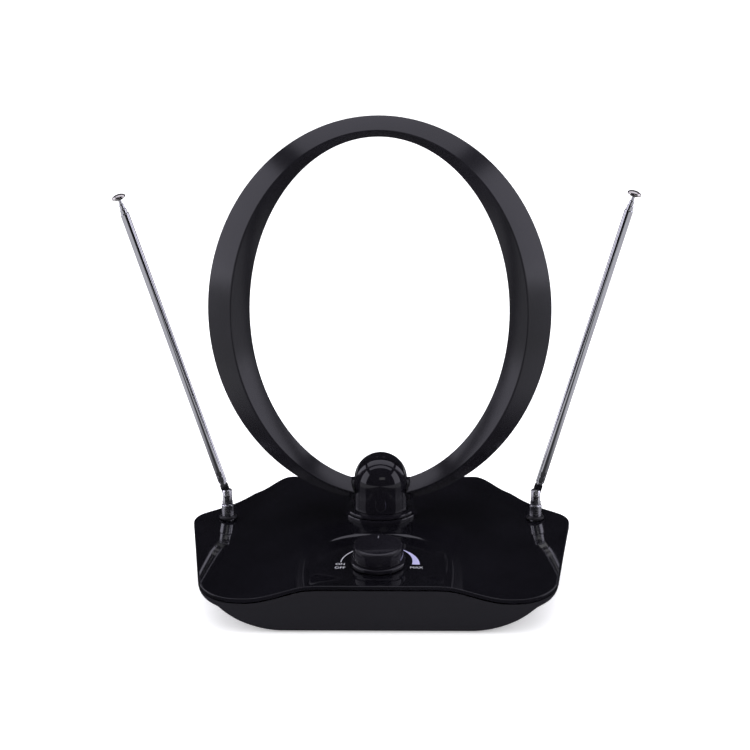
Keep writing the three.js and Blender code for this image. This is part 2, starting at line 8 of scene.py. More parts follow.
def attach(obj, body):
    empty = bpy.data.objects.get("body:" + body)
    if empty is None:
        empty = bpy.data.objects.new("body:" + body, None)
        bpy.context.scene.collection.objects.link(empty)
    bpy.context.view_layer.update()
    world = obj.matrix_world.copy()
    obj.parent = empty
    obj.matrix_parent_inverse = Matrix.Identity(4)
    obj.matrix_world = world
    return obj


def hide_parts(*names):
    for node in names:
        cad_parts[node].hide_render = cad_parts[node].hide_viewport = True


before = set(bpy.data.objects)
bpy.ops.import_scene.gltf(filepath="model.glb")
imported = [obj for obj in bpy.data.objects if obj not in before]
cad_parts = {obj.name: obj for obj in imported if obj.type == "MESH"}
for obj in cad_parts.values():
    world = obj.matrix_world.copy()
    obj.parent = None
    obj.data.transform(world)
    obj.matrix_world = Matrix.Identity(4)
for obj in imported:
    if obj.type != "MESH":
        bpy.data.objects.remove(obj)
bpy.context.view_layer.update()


# ---- Camera ----
# A long lens just over a metre in front, a little to the right of the middle, looks down on the base.
# It is rolled by half a degree, and the tones are shown as they are, with no film curve.
camera_place = Vector((0.0307, -1.1116, 0.45225))
camera_target = Vector((-0.0021, -0.012, 0.137))
CAMERA_ROLL = -0.5


def set_out(name, data):
    """Puts an object made of this data into the scene."""
    thing = bpy.data.objects.new(name, data)
    bpy.context.scene.collection.objects.link(thing)
    return thing


camera = set_out("camera", bpy.data.cameras.new("camera"))
camera.data.lens = 91.5
camera.data.sensor_width = 36
camera.location = camera_place
camera.rotation_mode = "QUATERNION"
level = (camera_target - camera_place).to_track_quat("-Z", "Y")
camera.rotation_quaternion = level @ Quaternion((0, 0, 1), math.radians(CAMERA_ROLL))
bpy.context.scene.camera = camera
bpy.context.scene.view_settings.view_transform = "Standard"


# ---- Studio ----
# A pale table under an even white sky. A large soft box hangs overhead, one stands on each side and a small
# one in front. In the gloss the sky is dark, and the table shows a painted reflection: a grey glow, lighter
# to both sides.
def material_nodes(name):
    material = bpy.data.materials.new(name)
    material.use_nodes = True
    tree = material.node_tree
    return material, tree, tree.nodes["Principled BSDF"]


def soft_box(name, place, aim, width, height, radiance, tint=(1, 1, 1)):
    lamp = bpy.data.lights.new(name, "AREA")
    lamp.shape = "RECTANGLE"
    lamp.size = width
    lamp.size_y = height
    lamp.energy = radiance * width * height * math.pi
    lamp.color = tint
    box = set_out(name, lamp)
    box.location = place
    box.rotation_euler = (Vector(aim) - Vector(place)).to_track_quat("-Z", "Y").to_euler()


def white_sky():
    world = bpy.data.worlds.new("studio")
    world.use_nodes = True
    bpy.context.scene.world = world
    tree = world.node_tree
    seen = tree.nodes.new("ShaderNodeLightPath")
    pale = tree.nodes.new("ShaderNodeBackground")
    dark = tree.nodes.new("ShaderNodeBackground")
    pick = tree.nodes.new("ShaderNodeMixShader")
    pale.inputs["Color"].default_value = (1, 1, 1, 1)
    pale.inputs["Strength"].default_value = 1.0
    dark.inputs["Color"].default_value = (0.8, 0.82, 0.9, 1)
    dark.inputs["Strength"].default_value = 0.015
    tree.links.new(seen.outputs["Is Glossy Ray"], pick.inputs["Fac"])
    tree.links.new(pale.outputs[0], pick.inputs[1])
    tree.links.new(dark.outputs[0], pick.inputs[2])
    tree.links.new(pick.outputs[0], tree.nodes["World Output"].inputs["Surface"])


def painted_table_reflection(tree, shader):
    """Painted reflection: polished pieces see the table as a grey glow, grey in front of the object and
    lighter to both sides.
    """
    place = tree.nodes.new("ShaderNodeTexCoord")
    split = tree.nodes.new("ShaderNodeSeparateXYZ")
    aside = tree.nodes.new("ShaderNodeMath")
    tone = tree.nodes.new("ShaderNodeMapRange")
    painted_reflection_glow = tree.nodes.new("ShaderNodeEmission")
    seen = tree.nodes.new("ShaderNodeLightPath")
    pick = tree.nodes.new("ShaderNodeMixShader")
    aside.operation = "ABSOLUTE"
    tone.interpolation_type = "SMOOTHSTEP"
    tone.inputs["From Min"].default_value = 0.15
    tone.inputs["From Max"].default_value = 0.3
    tone.inputs["To Min"].default_value = 0.04
    tone.inputs["To Max"].default_value = 0.5
    painted_reflection_glow.inputs["Color"].default_value = (0.93, 0.93, 1, 1)
    tree.links.new(place.outputs["Object"], split.inputs[0])
    tree.links.new(split.outputs["X"], aside.inputs[0])
    tree.links.new(aside.outputs[0], tone.inputs["Value"])
    tree.links.new(tone.outputs["Result"], painted_reflection_glow.inputs["Strength"])
    tree.links.new(seen.outputs["Is Glossy Ray"], pick.inputs["Fac"])
    tree.links.new(shader.outputs[0], pick.inputs[1])
    tree.links.new(painted_reflection_glow.outputs[0], pick.inputs[2])
    tree.links.new(pick.outputs[0], tree.nodes["Material Output"].inputs["Surface"])


def finished_mesh(name, bm):
    """The mesh that a bmesh holds. The bmesh is used up."""
    mesh = bpy.data.meshes.new(name)
    bm.to_mesh(mesh)
    bm.free()
    return mesh


def pale_table():
    bm = bmesh.new()
    bmesh.ops.create_grid(bm, x_segments=2, y_segments=2, size=6)
    table = set_out("table", finished_mesh("table", bm))
    material, tree, shader = material_nodes("table_white_painted_reflection")
    shader.inputs["Base Color"].default_value = (0.96, 0.96, 0.965, 1)
    shader.inputs["Roughness"].default_value = 0.9
    shader.inputs["Specular IOR Level"].default_value = 0.1
    shader.inputs["Emission Color"].default_value = (1, 1, 1, 1)
    shader.inputs["Emission Strength"].default_value = 0.35
    # Painted reflection: to glossy rays the table is a grey glow, lighter to both sides.
    painted_table_reflection(tree, shader)
    table.data.materials.append(material)


white_sky()
pale_table()
LAMP_TINT = (0.97, 0.95, 1.1)
soft_box("overhead_box", (0, 0.4, 1.7), (0, 0.2, 0), 2.9, 1.6, 1.05, LAMP_TINT)
soft_box("left_box", (-1.25, 0.1, 0.55), (0, 0.1, 0.3), 1.6, 1.0, 1.3, LAMP_TINT)
soft_box("right_box", (1.25, 0.1, 0.55), (0, 0.1, 0.3), 1.6, 1.0, 1.3, LAMP_TINT)
soft_box("front_box", (0.25, -1.7, 1.1), (0, 0, 0.1), 0.8, 0.35, 0.8)


# ---- Cover ----
# The top of the base: one injection moulding in black polished plastic, 2.4 mm thick. It slopes up behind
# the dial, steps down to a wing on each side and turns up at the wing tips. Four screws hold it from below.
MM = 0.001
HAIR = 1e-6
FRONT_Y = -84
BACK_Y = 79
MIDDLE_Y = (FRONT_Y + BACK_Y) / 2
EAR_X = 119.5
CORNERS = [(103.5, FRONT_Y, 24), (EAR_X, 25, 10), (96, 50, 14), (79.5, BACK_Y, 12)]  # x, y, rounding
CORNER_STEPS = 16
COVER_WALL = 2.4
COVER_GRID = 190
RIM_ROUND = 0.85
RIM_ANGLE = 60

# The top's height at the front edge, its two slopes with the crest between them, and the wings.
FRONT_Z = 30.5
FRONT_SLOPE = 0.094
BACK_SLOPE = 0.045
CREST_START = -24
CREST_LENGTH = 24
WING_DROP = 8.5
WING_START = (34, 60)  # at the front and at the back
WING_BLEND = (43, 22)
CURL_START = 84
CURL_RISE = 2.4

# The recess round the dial is an arch with a low wall and a dish whose edge runs out behind it.
RECESS_Y = -53.5
RECESS_POWER = 2.3
RECESS_FRONT_SHARE = 0.2
RECESS_FRONT_FADE = 22
ARCH_REACH = 42.8
ARCH_DEPTH = 0.8
ARCH_WALL = 3.6
DISH_DEPTH = 1.3
DISH_BESIDE, DISH_BESIDE_EDGE = 45, 8
DISH_BEHIND, DISH_BEHIND_EDGE = 62, 21
DISH_TURN = 41

# What stands on it: the post, the dial and the two rods.
POST_Y = 19
POST_HOLE = 9.3
KNOB_Y = -51.4
DIAL_HOLE = 4.3
ROD_X = 97.5
ROD_Y = 26
ROD_HOLE = 4.2
SHARP_ANGLE = 32


def ease(t):
    c = min(1, max(0, t))
    return c * c * (3 - 2 * c)


def mix(a, b, t):
    return a + (b - a) * t


def half_outline():
    """Points along the right half of the plan, and how far along each one lies."""
    chain = [Vector((0, FRONT_Y))] + [Vector(c[:2]) for c in CORNERS] + [Vector((0, BACK_Y))]
    points = [chain[0]]
    for i, (x, y, rounding) in enumerate(CORNERS):
        here = Vector((x, y))
        start = here + (chain[i] - here).normalized() * rounding
        end = here + (chain[i + 2] - here).normalized() * rounding
        for step in range(CORNER_STEPS + 1):
            t = step / CORNER_STEPS
            points.append(start * (1 - t) ** 2 + here * 2 * t * (1 - t) + end * t * t)
    points.append(chain[-1])
    along = [0]
    for before, after in zip(points, points[1:]):
        along.append(along[-1] + (after - before).length)
    return points, [a / along[-1] for a in along]


outline_points, outline_along = half_outline()


def outline_at(share):
    for i in range(1, len(outline_along)):
        if share <= outline_along[i]:
            length = outline_along[i] - outline_along[i - 1]
            t = (share - outline_along[i - 1]) / length if length else 0
            return outline_points[i - 1].lerp(outline_points[i], t)
    return outline_points[-1]


def plan_edge(u, v):
    """The outline's point for a point on the edge of the square from -1 to 1.

    Half the square's edge is four long: one along the front, two up the side and one along the back.
    """
    side = abs(u)
    share = 1 + (v + 1)
    if v <= -1 + HAIR and side < 1 - HAIR:
        share = side
    elif v >= 1 - HAIR and side < 1 - HAIR:
        share = 3 + (1 - side)
    point = outline_at(min(1, max(0, share / 4)))
    return Vector((math.copysign(point.x, u), point.y))


def plan_point(u, v):
    ring = max(abs(u), abs(v))
    centre = Vector((0, MIDDLE_Y))
    if ring < HAIR:
        return centre
    return centre + (plan_edge(u / ring, v / ring) - centre) * ring


def recess_depth(x, y):
    """An arch round the knob with a shallow dish behind it. Both fade out at the front edge."""
    past = max(0, y - RECESS_Y)
    reach = (abs(x) ** RECESS_POWER + past**RECESS_POWER) ** (1 / RECESS_POWER)
    arch = ARCH_DEPTH * ease((ARCH_REACH - reach) / ARCH_WALL)
    beside = ease((DISH_BESIDE - reach) / DISH_BESIDE_EDGE)
    behind = ease((DISH_BEHIND - reach) / DISH_BEHIND_EDGE)
    dish = DISH_DEPTH * mix(beside, behind, ease((y - RECESS_Y) / DISH_TURN))
    return (arch + dish) * mix(RECESS_FRONT_SHARE, 1, ease((y - FRONT_Y) / RECESS_FRONT_FADE))


def crest_height(y):
    """The middle's height along Y: two slopes joined by a parabola at the crest."""
    past = min(CREST_LENGTH, max(0, y - CREST_START))
    bend = (FRONT_SLOPE - BACK_SLOPE) / (2 * CREST_LENGTH)
    rise = FRONT_SLOPE * (min(y, CREST_START + CREST_LENGTH) - FRONT_Y) - bend * past**2
    return FRONT_Z + rise + BACK_SLOPE * max(0, y - CREST_START - CREST_LENGTH)


def cover_height(x, y):
    side = abs(x)
    back = (y - FRONT_Y) / (BACK_Y - FRONT_Y)
    wing = WING_DROP * ease((side - mix(*WING_START, back)) / mix(*WING_BLEND, back))
    curl = CURL_RISE * ease((side - CURL_START) / (EAR_X - CURL_START))
    return crest_height(y) - wing + curl - recess_depth(x, y)


def place_piece(name, bm, body, material, replaces=()):
    """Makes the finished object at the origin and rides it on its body."""
    mesh = finished_mesh(name, bm)
    for face in mesh.polygons:
        face.use_smooth = True
    mesh.set_sharp_from_angle(angle=math.radians(SHARP_ANGLE))
    mesh.materials.append(material)
    piece = set_out(name, mesh)
    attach(piece, body)
    if replaces:
        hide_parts(*replaces)


def face_outward(bm):
    bmesh.ops.remove_doubles(bm, verts=bm.verts, dist=HAIR)
    bmesh.ops.recalc_face_normals(bm, faces=bm.faces)


def round_edges(bm, edges, radius, segments):
    bmesh.ops.bevel(
        bm, geom=edges, offset=radius * MM, segments=segments, profile=0.5, affect="EDGES",
        material=-1, clamp_overlap=True,
    )


def as_shown(thing):
    """A bmesh of the object with its modifiers applied."""
    bpy.context.view_layer.update()
    ready = thing.evaluated_get(bpy.context.evaluated_depsgraph_get())
    bm = bmesh.new()
    bm.from_mesh(ready.to_mesh())
    ready.to_mesh_clear()
    return bm


def drilled(bm, *tools):
    """The same mesh with the tools' volumes cut out of it. The tools are used up."""
    stock = set_out("stock", finished_mesh("stock", bm))
    cutters = []
    for tool in tools:
        cutter = set_out("cutter", finished_mesh("cutter", tool))
        cut = stock.modifiers.new("cut", "BOOLEAN")
        cut.operation = "DIFFERENCE"
        cut.solver = "EXACT"
        cut.object = cutter
        cutters.append(cutter)
    result = as_shown(stock)
    for leftover in [stock, *cutters]:
        bpy.data.objects.remove(leftover)
    return result


def cylinder(radius, low, high, sides, matrix=Matrix.Identity(4)):
    bm = bmesh.new()
    middle = Matrix.Translation((0, 0, (low + high) / 2 * MM))
    bmesh.ops.create_cone(
        bm, cap_ends=True, segments=sides, radius1=radius * MM, radius2=radius * MM,
        depth=(high - low) * MM, matrix=matrix @ middle,
    )
    return bm


def at(x, y, z):
    return Matrix.Translation((x * MM, y * MM, z * MM))


def noise(tree, scale, detail=3, stretch=(1, 1, 1), seat=None, roughness=0.5):
    """A noise on the object's own coordinates, stretched along its axes. A seat is a place and a turn."""
    place = tree.nodes.new("ShaderNodeTexCoord").outputs["Object"]
    if seat:
        settle = tree.nodes.new("ShaderNodeMapping")
        settle.vector_type = "TEXTURE"
        settle.inputs["Location"].default_value = seat[0]
        settle.inputs["Rotation"].default_value = seat[1]
        tree.links.new(place, settle.inputs["Vector"])
        place = settle.outputs["Vector"]
    spread = tree.nodes.new("ShaderNodeMapping")
    spread.inputs["Scale"].default_value = stretch
    tree.links.new(place, spread.inputs["Vector"])
    made = tree.nodes.new("ShaderNodeTexNoise")
    made.inputs["Scale"].default_value = scale
    made.inputs["Detail"].default_value = detail
    made.inputs["Roughness"].default_value = roughness
    tree.links.new(spread.outputs["Vector"], made.inputs["Vector"])
    return made.outputs["Fac"]


def ramp(tree, source, low, high, low_at=0.3, high_at=0.7):
    """Colours from low to high as the source goes between the two places."""
    made = tree.nodes.new("ShaderNodeValToRGB")
    made.color_ramp.elements[0].position = low_at
    made.color_ramp.elements[1].position = high_at
    made.color_ramp.elements[0].color = (*low, 1)
    made.color_ramp.elements[1].color = (*high, 1)
    tree.links.new(source, made.inputs["Fac"])
    return made.outputs["Color"]


def span(tree, source, low, high, low_at=0.3, high_at=0.7):
    """Numbers from low to high as the source goes between the two places."""
    made = tree.nodes.new("ShaderNodeMapRange")
    made.inputs["From Min"].default_value = low_at
    made.inputs["From Max"].default_value = high_at
    made.inputs["To Min"].default_value = low
    made.inputs["To Max"].default_value = high
    tree.links.new(source, made.inputs["Value"])
    return made.outputs["Result"]


def bump(tree, shader, *layers):
    """Adds bumps one over another. Each layer is (height source, distance in metres, strength)."""
    normal = None
    for source, distance, strength in layers:
        made = tree.nodes.new("ShaderNodeBump")
        made.inputs["Distance"].default_value = distance
        made.inputs["Strength"].default_value = strength
        tree.links.new(source, made.inputs["Height"])
        if normal:
            tree.links.new(normal, made.inputs["Normal"])
        normal = made.outputs["Normal"]
    tree.links.new(normal, shader.inputs["Normal"])


def gloss_plastic(name, tone=(0.0065, 0.006, 0.0085), rough=0.045, haze=0.11, marks=0.25):
    """Polished black plastic: faint moulding flow, a handled haze in patches and hairline marks."""
    material, tree, shader = material_nodes(name)
    flow = noise(tree, scale=22, detail=2)
    fine = noise(tree, scale=260, detail=4)
    deep = tuple(c * 0.75 for c in tone)
    pale = tuple(c * 1.35 for c in tone)
    tree.links.new(ramp(tree, flow, deep, pale), shader.inputs["Base Color"])
    patch = span(tree, flow, rough, haze, low_at=0.48, high_at=0.8)
    smear = span(tree, fine, 0, 0.02, low_at=0.45, high_at=0.8)
    both = tree.nodes.new("ShaderNodeMath")
    both.operation = "ADD"
    tree.links.new(patch, both.inputs[0])
    tree.links.new(smear, both.inputs[1])
    tree.links.new(both.outputs[0], shader.inputs["Roughness"])
    shader.inputs["IOR"].default_value = 1.5
    layers = [(flow, 0.00006, 0.25)]
    if marks:
        hairs = noise(tree, scale=420, detail=2, stretch=(1, 0.04, 0.3), roughness=0.6)
        layers.append((hairs, 0.000004, marks))
    bump(tree, shader, *layers)
    return material


cover_black = gloss_plastic("cover_black", tone=(0.0035, 0.0033, 0.0048))


def double_sheet(divisions, place):
    """Two grids joined at their edges and bent by a rule of u, v and which of the two the point is on."""
    bm = bmesh.new()
    bmesh.ops.create_grid(bm, x_segments=divisions, y_segments=divisions, size=1)
    raised = bmesh.ops.extrude_face_region(bm, geom=bm.faces[:], use_keep_orig=True)["geom"]
    upper = [part for part in raised if isinstance(part, bmesh.types.BMVert)]
    bmesh.ops.translate(bm, verts=upper, vec=(0, 0, 1))
    for vert in bm.verts:
        vert.co = place(vert.co.x, vert.co.y, vert.co.z > 0.5)
    face_outward(bm)
    return bm


def cover_point(u, v, upper):
    plan = plan_point(u, v)
    drop = 0 if upper else COVER_WALL
    return Vector((plan.x, plan.y, cover_height(plan.x, plan.y) - drop)) * MM


def cover_holes():
    """Holes for the post, the dial's bush and the two rods."""
    tilt = Matrix.Rotation(math.atan(FRONT_SLOPE), 4, "X")
    dial = at(0, KNOB_Y, cover_height(0, KNOB_Y)) @ tilt
    tools = [cylinder(POST_HOLE, 28, 60, 48, at(0, POST_Y, 0)), cylinder(DIAL_HOLE, -10, 10, 32, dial)]
    return tools + [cylinder(ROD_HOLE, 20, 50, 32, at(side * ROD_X, ROD_Y, 0)) for side in (-1, 1)]


def cover():
    bm = double_sheet(COVER_GRID, cover_point)
    rims = [edge for edge in bm.edges if edge.calc_face_angle(0) > math.radians(RIM_ANGLE)]
    round_edges(bm, rims, RIM_ROUND, segments=4)
    return drilled(bm, *cover_holes())


place_piece("cover", cover(), "base", cover_black, replaces=["top_cover"])


# ---- Printed scale ----
# White and lilac ink, pad printed on the cover round the dial: a thin arc that swells into a wedge
# towards full gain, with a plain legend at each end.
SCALE_RADIUS = 22.4
HALF_LINE = 0.25
WEDGE_INNER = (22.8, 20.1)  # where it starts and where it ends
WEDGE_OUTER = (23.3, 24.8)
INK_LIFT = 0.04
LEGEND_SIZE = 3.7
LEGENDS = (
    ("legend_on", "ON", -22.6, -52.4),
    ("legend_off", "OFF", -22.6, -57),
    ("legend_max", "MAX", 22.8, -56.6),
)


def ink(name, tone):
    material, tree, shader = material_nodes(name)
    speck = noise(tree, scale=900, detail=2)
    worn = tuple(c * 0.8 for c in tone)
    tree.links.new(ramp(tree, speck, worn, tone), shader.inputs["Base Color"])
    tree.links.new(span(tree, speck, 0.35, 0.55), shader.inputs["Roughness"])
    shader.inputs["Specular IOR Level"].default_value = 0.35
    return material


def lay_on_cover(bm):
    for vert in bm.verts:
        vert.co.z = (cover_height(vert.co.x / MM, vert.co.y / MM) + INK_LIFT) * MM


def arc_band(start, end, inner, outer, steps):
    """A band round the dial. Its radii run from their first value to their second along the arc."""
    bm = bmesh.new()
    bmesh.ops.create_grid(bm, x_segments=steps, y_segments=2, size=1)
    for vert in bm.verts:
        along = (vert.co.x + 1) / 2
        across = (vert.co.y + 1) / 2
        turn = math.radians(mix(start, end, along))
        radius = mix(mix(*inner, along), mix(*outer, along), across)
        vert.co.x = radius * math.cos(turn) * MM
        vert.co.y = (KNOB_Y + radius * math.sin(turn)) * MM
    lay_on_cover(bm)
    bm.normal_update()
    bmesh.ops.reverse_faces(bm, faces=[face for face in bm.faces if face.normal.z < 0])
    return bm


def legend(text, x, y):
    curve = bpy.data.curves.new(text, "FONT")
    curve.body = text
    curve.size = LEGEND_SIZE * MM
    curve.align_x = "CENTER"
    curve.align_y = "CENTER"
    curve.resolution_u = 3
    lettering = set_out(text, curve)
    bm = as_shown(lettering)
    bpy.data.objects.remove(lettering)
    bpy.data.curves.remove(curve)
    bmesh.ops.translate(bm, verts=bm.verts, vec=(x * MM, y * MM, 0))
    lay_on_cover(bm)
    return bm


white_ink = ink("white_ink", (0.6, 0.6, 0.66))
lilac_ink = ink("lilac_ink", (0.5, 0.49, 0.78))
thin_arc = arc_band(176, 52, (SCALE_RADIUS - HALF_LINE,) * 2, (SCALE_RADIUS + HALF_LINE,) * 2, 60)
place_piece("scale_arc", thin_arc, "base", white_ink)
wedge = arc_band(50, -3, WEDGE_INNER, WEDGE_OUTER, 40)
place_piece("scale_wedge", wedge, "base", lilac_ink)
for name, text, x, y in LEGENDS:
    place_piece(name, legend(text, x, y), "base", white_ink)


# ---- Tub ----
# The lower half of the base: a bowl in black plastic with a duller polish, 2.2 mm thick, whose sides sweep
# up under the wings. Its rim stops just below the cover and leaves a dark joint line.
TUB_WALL = 2.2
TUB_GRID = 110
TUB_LOW = 1.2
SIDE_BAND = 0.3
SIDE_INSET = 0.035
WALL_INSET = 0.01
FLAT_HALF = 55
SWEEP = (0.0092, 0.008)  # at the front and at the back
RIM_GAP = 0.6
RIM_LEAST = 5
CASE_SCREWS = ((-50, -60), (50, -60), (-46, 60), (46, 60))
SCREW_HOLE = 1.6
SOCKET_X = 24
SOCKET_Z = 22
COAX_HOLE = 5
JACK_HOLE = 4.7
lying = Matrix.Rotation(math.pi / 2, 4, "X")


def tub_point(u, v, inside):
    """The outer band of the square makes the side, which turns in from the rim. The rest is the floor."""
    wall = TUB_WALL if inside else 0
    ring = max(abs(u), abs(v), HAIR)
    turn = min(1, (1 - ring) / SIDE_BAND) * math.pi / 2
    inset = 1 - SIDE_INSET * (1 - math.cos(turn)) - WALL_INSET * wall
    shrink = inset * min(1, ring / (1 - SIDE_BAND))
    rim_at = plan_point(u / ring, v / ring)
    centre = Vector((0, MIDDLE_Y))
    plan = centre + (rim_at - centre) * shrink
    rim = cover_height(rim_at.x, rim_at.y) - COVER_WALL - RIM_GAP
    sweep = mix(*SWEEP, ease((plan.y - FRONT_Y) / (BACK_Y - FRONT_Y)))
    floor = min(TUB_LOW + sweep * max(0, abs(plan.x) - FLAT_HALF) ** 2, rim - RIM_LEAST)
    z = mix(rim, floor, math.sin(turn)) + wall * math.sin(turn)
    return Vector((plan.x, plan.y, z)) * MM


def satin_plastic(name, tone=(0.012, 0.0115, 0.0145), rough=0.24):
    """Moulded black plastic with a very fine spark-eroded grain and a faint flow in its tone."""
    material, tree, shader = material_nodes(name)
    flow = noise(tree, scale=9, detail=1)
    grain = noise(tree, scale=2600, detail=2)
    deep = tuple(c * 0.92 for c in tone)
    pale = tuple(c * 1.08 for c in tone)
    tree.links.new(ramp(tree, flow, deep, pale, low_at=0, high_at=1), shader.inputs["Base Color"])
    dull = span(tree, flow, rough, rough + 0.08, low_at=0, high_at=1)
    tree.links.new(dull, shader.inputs["Roughness"])
    shader.inputs["Specular IOR Level"].default_value = 0.25
    bump(tree, shader, (grain, 0.000005, 0.1))
    return material


def tub():
    holes = [cylinder(COAX_HOLE, -12, 12, 32, at(-SOCKET_X, BACK_Y, SOCKET_Z) @ lying)]
    holes.append(cylinder(JACK_HOLE, -12, 12, 32, at(SOCKET_X, BACK_Y, SOCKET_Z) @ lying))
    holes += [cylinder(SCREW_HOLE, 0, 5, 16, at(x, y, 0)) for x, y in CASE_SCREWS]
    return drilled(double_sheet(TUB_GRID, tub_point), *holes)


tub_black = satin_plastic("tub_black")
place_piece("tub", tub(), "base", tub_black, replaces=["bottom_tub"])


# ---- Feet and case screws ----
# Four moulded rubber pads glued under the tub, and four zinc-plated pan-head screws that pull the tub up
# against the cover's bosses.
SOLE_SHAPE = [(0, 0), (5.6, 0), (6, 0.2), (6.3, 0.9), (0, 0.9)]
SCREW_SHAPE = [
    (0, 0.5), (0.9, 0.5), (1.1, 0.2), (2.4, 0.2), (2.8, 0.45), (2.8, 0.9), (1.3, 0.9), (1.3, 16), (0, 17),
]
FEET = ((-36, -66), (36, -66), (-52, 44), (52, 44))
CORNER_NAMES = ("front_left", "front_right", "back_left", "back_right")


def rubber(name):
    material, tree, shader = material_nodes(name)
    dust = noise(tree, scale=300, detail=4)
    black = ramp(tree, dust, (0.012, 0.012, 0.012), (0.03, 0.03, 0.029))
    tree.links.new(black, shader.inputs["Base Color"])
    tree.links.new(span(tree, dust, 0.75, 0.95), shader.inputs["Roughness"])
    bump(tree, shader, (dust, 0.0001, 0.3))
    return material


def plated(name, tone, rough, stretch=(1, 1, 1), seat=None, lines=0.25, scale=700):
    """Plated metal: faint tone changes and fine tool marks, longest along the axis of least stretch."""
    material, tree, shader = material_nodes(name)
    cloud = noise(tree, scale=60, seat=seat)
    marks = noise(tree, scale, stretch=stretch, seat=seat)
    dim = tuple(c * 0.86 for c in tone)
    tree.links.new(ramp(tree, cloud, dim, tone), shader.inputs["Base Color"])
    tree.links.new(span(tree, marks, rough * 0.75, rough * 1.5), shader.inputs["Roughness"])
    shader.inputs["Metallic"].default_value = 1
    bump(tree, shader, (marks, 0.00001, lines))
    return material


def spun(profile, steps=48, matrix=Matrix.Identity(4)):
    """A turned piece. The profile lists radius and height, and a ring's profile ends where it starts."""
    bm = bmesh.new()
    ring = profile[0] == profile[-1]
    stations = profile[:-1] if ring else profile
    verts = [bm.verts.new((radius * MM, 0, z * MM)) for radius, z in stations]
    edges = [bm.edges.new(pair) for pair in zip(verts, verts[1:])]
    if ring:
        edges.append(bm.edges.new((verts[-1], verts[0])))
    bmesh.ops.spin(
        bm, geom=verts + edges, cent=(0, 0, 0), axis=(0, 0, 1), angle=2 * math.pi,
        steps=steps, use_merge=True, use_duplicate=False,
    )
    face_outward(bm)
    bmesh.ops.transform(bm, matrix=matrix, verts=bm.verts)
    return bm


def dress(material, *nodes):
    """Gives CAD nodes whose shape is right a better material."""
    for node in nodes:
        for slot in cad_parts[node].material_slots:
            slot.material = material


foot_rubber = rubber("foot_rubber")
screw_zinc = plated("screw_zinc", (0.5, 0.5, 0.53), rough=0.34)
for corner, foot_at, screw_at in zip(CORNER_NAMES, FEET, CASE_SCREWS):
    sole = spun(SOLE_SHAPE, 32, at(*foot_at, 0))
    place_piece(f"pad_{corner}", sole, "base", foot_rubber, replaces=[f"foot_{corner}"])
    screw = spun(SCREW_SHAPE, 24, at(*screw_at, 0))
    place_piece(f"screw_{corner}", screw, "base", screw_zinc, replaces=[f"case_screw_{corner}"])


# ---- Inside the base ----
# A pressed steel ballast plate, the amplifier's board with its tinned shield can, the gain control's body
# and nut under the dial, and an insulated lead to each rod.
def board_green(name):
    material, tree, shader = material_nodes(name)
    tracks = noise(tree, scale=160, detail=1, stretch=(1, 0.2, 1))
    lacquer = ramp(tree, tracks, (0.012, 0.09, 0.035), (0.03, 0.17, 0.07), low_at=0.47, high_at=0.53)
    tree.links.new(lacquer, shader.inputs["Base Color"])
    tree.links.new(span(tree, tracks, 0.3, 0.45), shader.inputs["Roughness"])
    return material


def insulation(name):
    material, tree, shader = material_nodes(name)
    rub = noise(tree, scale=500)
    tree.links.new(ramp(tree, rub, (0.25, 0.02, 0.015), (0.4, 0.035, 0.03)), shader.inputs["Base Color"])
    tree.links.new(span(tree, rub, 0.4, 0.6), shader.inputs["Roughness"])
    return material


tinned = plated("tinned", (0.62, 0.6, 0.56), rough=0.3)
dress(screw_zinc, "ballast_plate", "wave_washer", "retaining_clip")
dress(board_green("board_green"), "amplifier_board")
dress(tinned, "shield_can", "gain_potentiometer", "pot_nut", "pot_shaft", "left_stem_nut", "right_stem_nut")
dress(insulation("lead_red"), "left_lead", "right_lead")


# ---- Sockets ----
# In the back wall: a nickel-plated coax socket with a rolled thread and a hexagonal nut on the left, as seen
# from the front, and a black moulded power jack with its steel pin on the right.
THREAD_START = -5
THREAD_END = 4.2
THREAD_PITCH = 0.8
THREAD_ROOT = 4.3
THREAD_CREST = 4.68
NUT_CORNER = 7
NUT_ROUND = 0.25
JACK_SHAPE = [
    (0, -14), (4.4, -14), (4.4, 0.2), (5.6, 0.5), (5.6, 1.3), (5.3, 1.6), (3, 1.6), (2.8, 1.4), (2.8, -8),
    (1.6, -8), (0, -8),
]
JACK_PIN_SHAPE = [(0, -7.9), (1, -7.9), (1, -0.4), (0.6, 0), (0, 0)]
facing_back = Matrix.Rotation(-math.pi / 2, 4, "X")
coax_axis = at(-SOCKET_X, BACK_Y, SOCKET_Z) @ facing_back
jack_axis = at(SOCKET_X, BACK_Y, SOCKET_Z) @ facing_back


def coax_barrel():
    shape = [(0.6, -16), (4, -16), (4, -9), (6, -9), (6, -5.2), (THREAD_ROOT, -5.2)]
    z = THREAD_START
    while z < THREAD_END:
        shape += [(THREAD_ROOT, z), (THREAD_CREST, z + THREAD_PITCH / 2)]
        z += THREAD_PITCH
    shape += [(4.4, 4.8), (4.25, 5), (3.6, 5), (3.6, 2), (0.6, 2), (0.6, -16)]
    return spun(shape, 40, coax_axis)


def hex_nut(hole, corner, low, high, matrix):
    bm = cylinder(corner, low, high, 6)
    round_edges(bm, [edge for edge in bm.edges if edge.is_manifold], NUT_ROUND, segments=2)
    bm = drilled(bm, cylinder(hole, low - 1, high + 1, 32))
    bmesh.ops.transform(bm, matrix=matrix, verts=bm.verts)
    return bm


